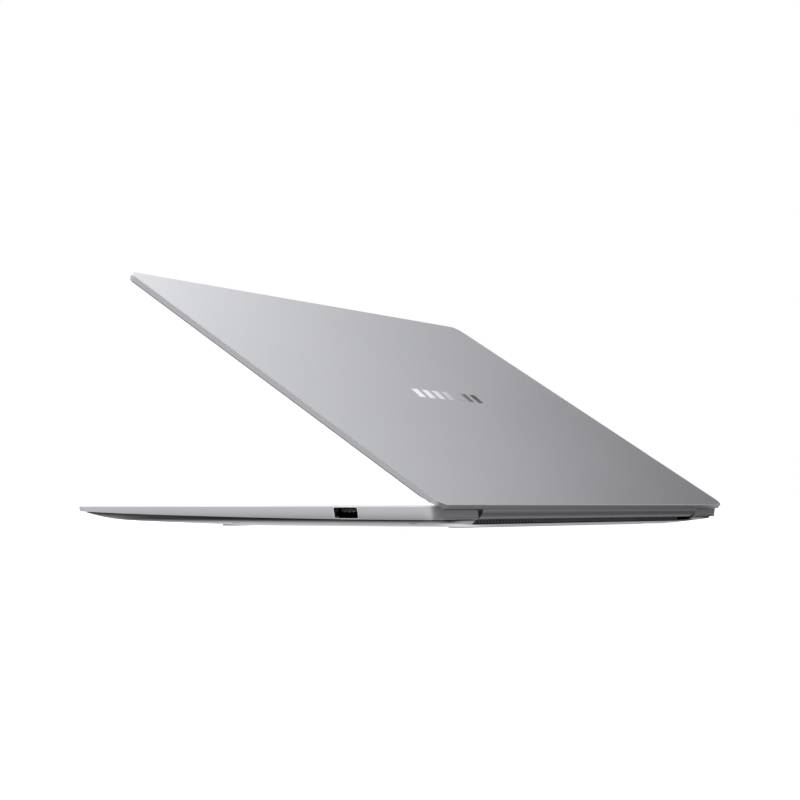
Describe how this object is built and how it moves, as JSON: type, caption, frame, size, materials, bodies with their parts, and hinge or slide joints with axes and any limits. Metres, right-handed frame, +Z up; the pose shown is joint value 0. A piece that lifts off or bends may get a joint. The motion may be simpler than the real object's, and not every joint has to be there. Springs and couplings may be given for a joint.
{
  "type": "laptop computer",
  "caption": "Thin aluminium laptop computer with its lid part-open: hinged display lid, keyboard deck, trackpad, side ports and internal parts as separate pieces.",
  "frame": {"origin": "on the table under the middle of the machine, with the lid at its rest angle", "axes": "+X to the user's right, +Y away from the user towards the hinge, +Z up"},
  "size_m": [0.304, 0.2168, 0.1244],
  "materials": {
    "anodised_aluminium": "fine bead-blasted and anodised space grey",
    "polished_inlay": "mirror polished",
    "key_plastic": "fine matt",
    "black_plastic": "matt moulded",
    "soft_rubber": "matt",
    "foot_rubber": "matt grey",
    "blackened_fins": "black anodised",
    "display_glass": "gloss black bonded glass",
    "display_stack": "laminated panel",
    "trackpad_surface": "etched matt glass",
    "grille_metal": "perforated, anodised",
    "steel": "nickel plated",
    "circuit_board": "solder mask",
    "chip": "moulded package",
    "copper": "bare copper",
    "battery_wrap": "matt foil pouch",
    "flat_cable": "polyimide film"
  },
  "bodies": {
    "base": {"audio_jack": "black_plastic", "battery_cable": "flat_cable", "battery_cells": "battery_wrap", "bottom_cover": "anodised_aluminium", "bottom_screws": "steel", "fan_housings": "black_plastic", "heat_pipe": "copper", "heat_sink_fins": "blackened_fins", "hinge_bracket_left": "steel", "hinge_bracket_right": "steel", "hinge_screws": "steel", "io_boards": "circuit_board", "io_flex_cable": "flat_cable", "keyboard_membrane": "black_plastic", "keyboard_plate": "steel", "memory_chips": "chip", "motherboard": "circuit_board", "processor": "chip", "rear_vent_grille": "anodised_aluminium", "rubber_feet": "foot_rubber", "seam_gasket": "soft_rubber", "speaker_grilles": "grille_metal", "speakers": "black_plastic", "ssd_module": "circuit_board", "top_case": "anodised_aluminium", "trackpad_bracket": "steel", "usb_a_shell": "steel", "usb_a_tongue": "black_plastic", "usb_c_ports": "steel", "wifi_module": "circuit_board"},
    "lid": {"antennas": "black_plastic", "cover_glass": "display_glass", "display_cable": "flat_cable", "display_controller_board": "circuit_board", "display_panel": "display_stack", "hinge_cover": "anodised_aluminium", "hinge_leaf_left": "steel", "hinge_leaf_right": "steel", "lid_back_cover": "anodised_aluminium", "lid_emblem": "polished_inlay", "lid_gasket": "soft_rubber", "lid_hinge_screws": "steel", "lid_magnets": "steel", "webcam_module": "circuit_board"},
    "fan_wheel_left": {"fan_impeller_left": "black_plastic"},
    "fan_wheel_right": {"fan_impeller_right": "black_plastic"},
    "trackpad_plate": {"trackpad": "trackpad_surface"},
    "power_key": {"power_button": "key_plastic"},
    "function_row_keys_body": {"function_row_keys": "key_plastic"},
    "number_row_keys_body": {"number_row_keys": "key_plastic"},
    "backspace_key_body": {"backspace_key": "key_plastic"},
    "top_letter_row_keys_body": {"top_letter_row_keys": "key_plastic"},
    "home_row_keys_body": {"home_row_keys": "key_plastic"},
    "enter_key_body": {"enter_key": "key_plastic"},
    "left_shift_key_body": {"left_shift_key": "key_plastic"},
    "bottom_letter_row_keys_body": {"bottom_letter_row_keys": "key_plastic"},
    "right_shift_key_body": {"right_shift_key": "key_plastic"},
    "modifier_row_keys_body": {"modifier_row_keys": "key_plastic"},
    "space_bar_body": {"space_bar": "key_plastic"},
    "arrow_keys_body": {"arrow_keys": "key_plastic"}
  },
  "joints": [
    {"name": "lid_hinge", "type": "hinge", "parent": "base", "child": "lid", "pos_m": [0, 0.10217, 0.0071], "axis": [-1, 0, 0], "range_deg": [-32.07, 92.93]},
    {"name": "fan_spin_left", "type": "hinge", "parent": "base", "child": "fan_wheel_left", "pos_m": [-0.09, 0.058, 0.0039], "axis": [0, 0, 1], "continuous": true},
    {"name": "fan_spin_right", "type": "hinge", "parent": "base", "child": "fan_wheel_right", "pos_m": [0.09, 0.058, 0.0039], "axis": [0, 0, 1], "continuous": true},
    {"name": "trackpad_click", "type": "slide", "parent": "base", "child": "trackpad_plate", "axis": [0, 0, -1], "range_m": [0, 0.00025], "stiffness_N_per_m": 6000},
    {"name": "power_button_press", "type": "slide", "parent": "base", "child": "power_key", "axis": [0, 0, -1], "range_m": [0, 0.0006], "stiffness_N_per_m": 800},
    {"name": "function_row_keys_press", "type": "slide", "parent": "base", "child": "function_row_keys_body", "axis": [0, 0, -1], "range_m": [0, 0.0013], "stiffness_N_per_m": 6300},
    {"name": "number_row_keys_press", "type": "slide", "parent": "base", "child": "number_row_keys_body", "axis": [0, 0, -1], "range_m": [0, 0.0013], "stiffness_N_per_m": 5850},
    {"name": "backspace_key_press", "type": "slide", "parent": "base", "child": "backspace_key_body", "axis": [0, 0, -1], "range_m": [0, 0.0013], "stiffness_N_per_m": 450},
    {"name": "top_letter_row_keys_press", "type": "slide", "parent": "base", "child": "top_letter_row_keys_body", "axis": [0, 0, -1], "range_m": [0, 0.0013], "stiffness_N_per_m": 6300},
    {"name": "home_row_keys_press", "type": "slide", "parent": "base", "child": "home_row_keys_body", "axis": [0, 0, -1], "range_m": [0, 0.0013], "stiffness_N_per_m": 5400},
    {"name": "enter_key_press", "type": "slide", "parent": "base", "child": "enter_key_body", "axis": [0, 0, -1], "range_m": [0, 0.0013], "stiffness_N_per_m": 450},
    {"name": "left_shift_key_press", "type": "slide", "parent": "base", "child": "left_shift_key_body", "axis": [0, 0, -1], "range_m": [0, 0.0013], "stiffness_N_per_m": 450},
    {"name": "bottom_letter_row_keys_press", "type": "slide", "parent": "base", "child": "bottom_letter_row_keys_body", "axis": [0, 0, -1], "range_m": [0, 0.0013], "stiffness_N_per_m": 4500},
    {"name": "right_shift_key_press", "type": "slide", "parent": "base", "child": "right_shift_key_body", "axis": [0, 0, -1], "range_m": [0, 0.0013], "stiffness_N_per_m": 450},
    {"name": "modifier_row_keys_press", "type": "slide", "parent": "base", "child": "modifier_row_keys_body", "axis": [0, 0, -1], "range_m": [0, 0.0013], "stiffness_N_per_m": 2700},
    {"name": "space_bar_press", "type": "slide", "parent": "base", "child": "space_bar_body", "axis": [0, 0, -1], "range_m": [0, 0.0013], "stiffness_N_per_m": 450},
    {"name": "arrow_keys_press", "type": "slide", "parent": "base", "child": "arrow_keys_body", "axis": [0, 0, -1], "range_m": [0, 0.0013], "stiffness_N_per_m": 1800}
  ]
}
